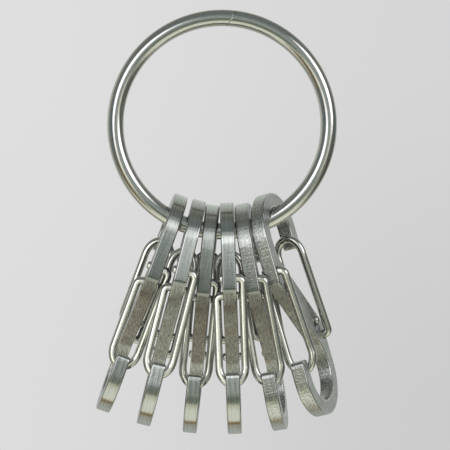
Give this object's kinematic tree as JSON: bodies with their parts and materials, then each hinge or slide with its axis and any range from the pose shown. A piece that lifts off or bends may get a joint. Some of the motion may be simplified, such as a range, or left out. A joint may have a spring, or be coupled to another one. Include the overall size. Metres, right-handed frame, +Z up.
{
  "type": "key organiser",
  "caption": "Round wire ring carrying flat S-shaped hooks, each closed top and bottom by a sprung wire gate, for holding keys.",
  "frame": {"origin": "inside top of the ring, where it hangs on a hook or belt loop", "axes": "+Z up, +X to the right, +Y away from the front; the ring lies in the XZ plane and the clips' flat faces point along X"},
  "size_m": [0.0425, 0.0248, 0.0738],
  "materials": {
    "ring_steel": "polished stainless steel",
    "plate_steel": "tumbled stainless sheet with fine lengthwise grain on its cut edges",
    "gate_steel": "polished stainless spring wire"
  },
  "bodies": {
    "ring": {"ring": "ring_steel"},
    "clip_1": {"clip_1_plate": "plate_steel"},
    "clip_1_upper": {"clip_1_upper_gate": "gate_steel"},
    "clip_1_lower": {"clip_1_lower_gate": "gate_steel"},
    "clip_2": {"clip_2_plate": "plate_steel"},
    "clip_2_upper": {"clip_2_upper_gate": "gate_steel"},
    "clip_2_lower": {"clip_2_lower_gate": "gate_steel"},
    "clip_3": {"clip_3_plate": "plate_steel"},
    "clip_3_upper": {"clip_3_upper_gate": "gate_steel"},
    "clip_3_lower": {"clip_3_lower_gate": "gate_steel"},
    "clip_4": {"clip_4_plate": "plate_steel"},
    "clip_4_upper": {"clip_4_upper_gate": "gate_steel"},
    "clip_4_lower": {"clip_4_lower_gate": "gate_steel"},
    "clip_5": {"clip_5_plate": "plate_steel"},
    "clip_5_upper": {"clip_5_upper_gate": "gate_steel"},
    "clip_5_lower": {"clip_5_lower_gate": "gate_steel"},
    "clip_6": {"clip_6_plate": "plate_steel"},
    "clip_6_upper": {"clip_6_upper_gate": "gate_steel"},
    "clip_6_lower": {"clip_6_lower_gate": "gate_steel"}
  },
  "joints": [
    {"name": "clip_1_swing", "type": "hinge", "parent": "ring", "child": "clip_1", "pos_m": [-0.00854, 0, -0.03357], "axis": [0.9368, 0.0557, -0.3453], "range_deg": [-2, 6]},
    {"name": "clip_1_upper_gate_hinge", "type": "hinge", "parent": "clip_1", "child": "clip_1_upper", "pos_m": [-0.01677, 0.00934, -0.05441], "axis": [0.9368, 0.0557, -0.3453], "range_deg": [0, 6], "stiffness_Nm_per_rad": 0.02, "springref_deg": -20.05},
    {"name": "clip_1_lower_gate_hinge", "type": "hinge", "parent": "clip_1", "child": "clip_1_lower", "pos_m": [-0.01117, -0.00737, -0.04189], "axis": [0.9368, 0.0557, -0.3453], "range_deg": [0, 18], "stiffness_Nm_per_rad": 0.02, "springref_deg": -20.05},
    {"name": "clip_2_swing", "type": "hinge", "parent": "ring", "child": "clip_2", "pos_m": [-0.00508, 0, -0.03494], "axis": [0.9691, 0.0271, -0.2453], "range_deg": [-18, 2]},
    {"name": "clip_2_upper_gate_hinge", "type": "hinge", "parent": "clip_2", "child": "clip_2_upper", "pos_m": [-0.01078, 0.00496, -0.05691], "axis": [0.9691, 0.0271, -0.2453], "range_deg": [0, 18], "stiffness_Nm_per_rad": 0.02, "springref_deg": -20.05},
    {"name": "clip_2_lower_gate_hinge", "type": "hinge", "parent": "clip_2", "child": "clip_2_lower", "pos_m": [-0.00668, -0.01057, -0.04242], "axis": [0.9691, 0.0271, -0.2453], "range_deg": [0, 6], "stiffness_Nm_per_rad": 0.02, "springref_deg": -20.05},
    {"name": "clip_3_swing", "type": "hinge", "parent": "ring", "child": "clip_3", "pos_m": [-0.00204, 0, -0.03554], "axis": [0.9947, -0.0087, -0.1028], "range_deg": [-3, 5]},
    {"name": "clip_3_upper_gate_hinge", "type": "hinge", "parent": "clip_3", "child": "clip_3_upper", "pos_m": [-0.00423, 0.0101, -0.0576], "axis": [0.9947, -0.0087, -0.1028], "range_deg": [0, 6], "stiffness_Nm_per_rad": 0.02, "springref_deg": -20.05},
    {"name": "clip_3_lower_gate_hinge", "type": "hinge", "parent": "clip_3", "child": "clip_3_lower", "pos_m": [-0.003, -0.00691, -0.0443], "axis": [0.9947, -0.0087, -0.1028], "range_deg": [0, 18], "stiffness_Nm_per_rad": 0.02, "springref_deg": -20.05},
    {"name": "clip_4_swing", "type": "hinge", "parent": "ring", "child": "clip_4", "pos_m": [0.00103, 0, -0.03562], "axis": [0.9994, -0.0087, 0.0349], "range_deg": [-18, 3]},
    {"name": "clip_4_upper_gate_hinge", "type": "hinge", "parent": "clip_4", "child": "clip_4_upper", "pos_m": [0.00186, 0.00565, -0.05774], "axis": [0.9994, -0.0087, 0.0349], "range_deg": [0, 18], "stiffness_Nm_per_rad": 0.02, "springref_deg": -20.05},
    {"name": "clip_4_lower_gate_hinge", "type": "hinge", "parent": "clip_4", "child": "clip_4_lower", "pos_m": [0.00122, -0.01072, -0.04362], "axis": [0.9994, -0.0087, 0.0349], "range_deg": [0, 9], "stiffness_Nm_per_rad": 0.02, "springref_deg": -20.05},
    {"name": "clip_5_swing", "type": "hinge", "parent": "ring", "child": "clip_5", "pos_m": [0.00427, 0, -0.03515], "axis": [0.9824, -0.0842, 0.1668], "range_deg": [-3, 1]},
    {"name": "clip_5_upper_gate_hinge", "type": "hinge", "parent": "clip_5", "child": "clip_5_upper", "pos_m": [0.00874, 0.00879, -0.05706], "axis": [0.9824, -0.0842, 0.1668], "range_deg": [0, 4], "stiffness_Nm_per_rad": 0.02, "springref_deg": -20.05},
    {"name": "clip_5_lower_gate_hinge", "type": "hinge", "parent": "clip_5", "child": "clip_5_lower", "pos_m": [0.00508, -0.00805, -0.044], "axis": [0.9824, -0.0842, 0.1668], "range_deg": [0, 6], "stiffness_Nm_per_rad": 0.02, "springref_deg": -20.05},
    {"name": "clip_6_swing", "type": "hinge", "parent": "ring", "child": "clip_6", "pos_m": [0.00813, 0, -0.03377], "axis": [0.9208, -0.2992, 0.2504], "range_deg": [-1, 25]},
    {"name": "clip_6_upper_gate_hinge", "type": "hinge", "parent": "clip_6", "child": "clip_6_upper", "pos_m": [0.01695, 0.01001, -0.05425], "axis": [0.9208, -0.2992, 0.2504], "range_deg": [0, 7], "stiffness_Nm_per_rad": 0.02, "springref_deg": -20.05},
    {"name": "clip_6_lower_gate_hinge", "type": "hinge", "parent": "clip_6", "child": "clip_6_lower", "pos_m": [0.00854, -0.00622, -0.0427], "axis": [0.9208, -0.2992, 0.2504], "range_deg": [0, 22], "stiffness_Nm_per_rad": 0.02, "springref_deg": -20.05}
  ]
}
